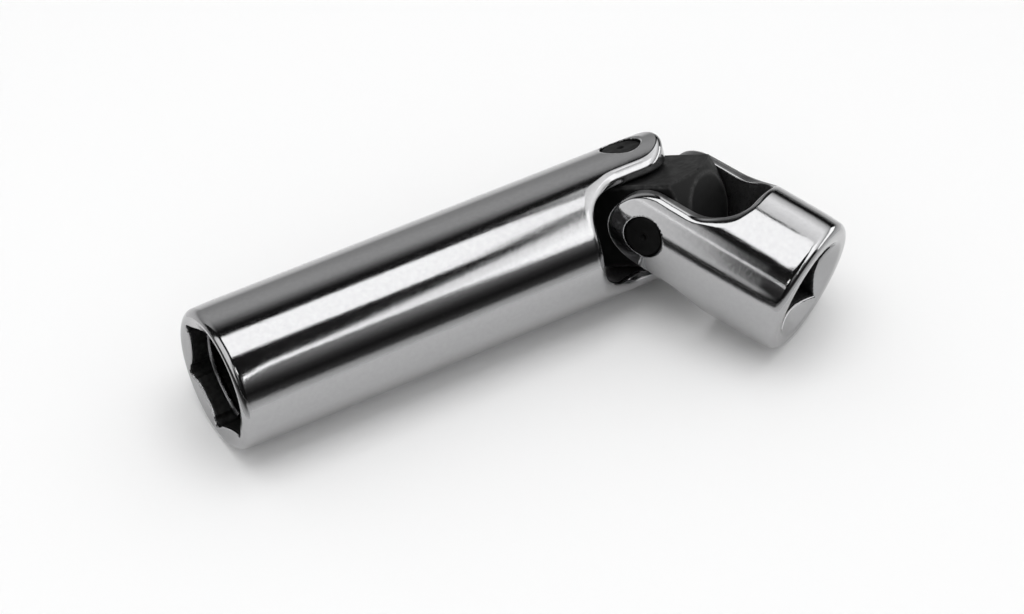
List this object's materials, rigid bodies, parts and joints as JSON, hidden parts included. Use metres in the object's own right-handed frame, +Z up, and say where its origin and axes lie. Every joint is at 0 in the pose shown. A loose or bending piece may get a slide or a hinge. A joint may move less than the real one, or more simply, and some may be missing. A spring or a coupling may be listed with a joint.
{
  "type": "spark plug socket",
  "caption": "Deep chrome-plated hexagon socket for spark plugs, joined by a black block on crossed pins to a short square-drive end that leans over in any direction.",
  "frame": {"origin": "centre of the hexagon's mouth, on the socket's axis", "axes": "+X along the socket from the mouth to the joint, +Z up, with the socket and the rim of the drive end lying on the ground"},
  "size_m": [0.0872, 0.0388, 0.0212],
  "materials": {
    "chrome": "polished chrome plate",
    "black_oxide": "black oxide, satin",
    "spring_steel": "bright spring wire"
  },
  "bodies": {
    "socket": {"socket_body": "chrome", "plug_clip": "spring_steel", "first_pin": "black_oxide"},
    "block": {"joint_block": "black_oxide"},
    "drive": {"drive_body": "chrome", "second_pin": "black_oxide"}
  },
  "joints": [
    {"name": "first_pin_hinge", "type": "hinge", "parent": "socket", "child": "block", "pos_m": [0.066, 0, 0], "axis": [0, 0.4749, 0.88], "range_deg": [-1, 121]},
    {"name": "second_pin_hinge", "type": "hinge", "parent": "block", "child": "drive", "pos_m": [0.0693, -0.00503, 0.00271], "axis": [-0.866, -0.44, 0.2375], "range_deg": [-25, 91]}
  ]
}
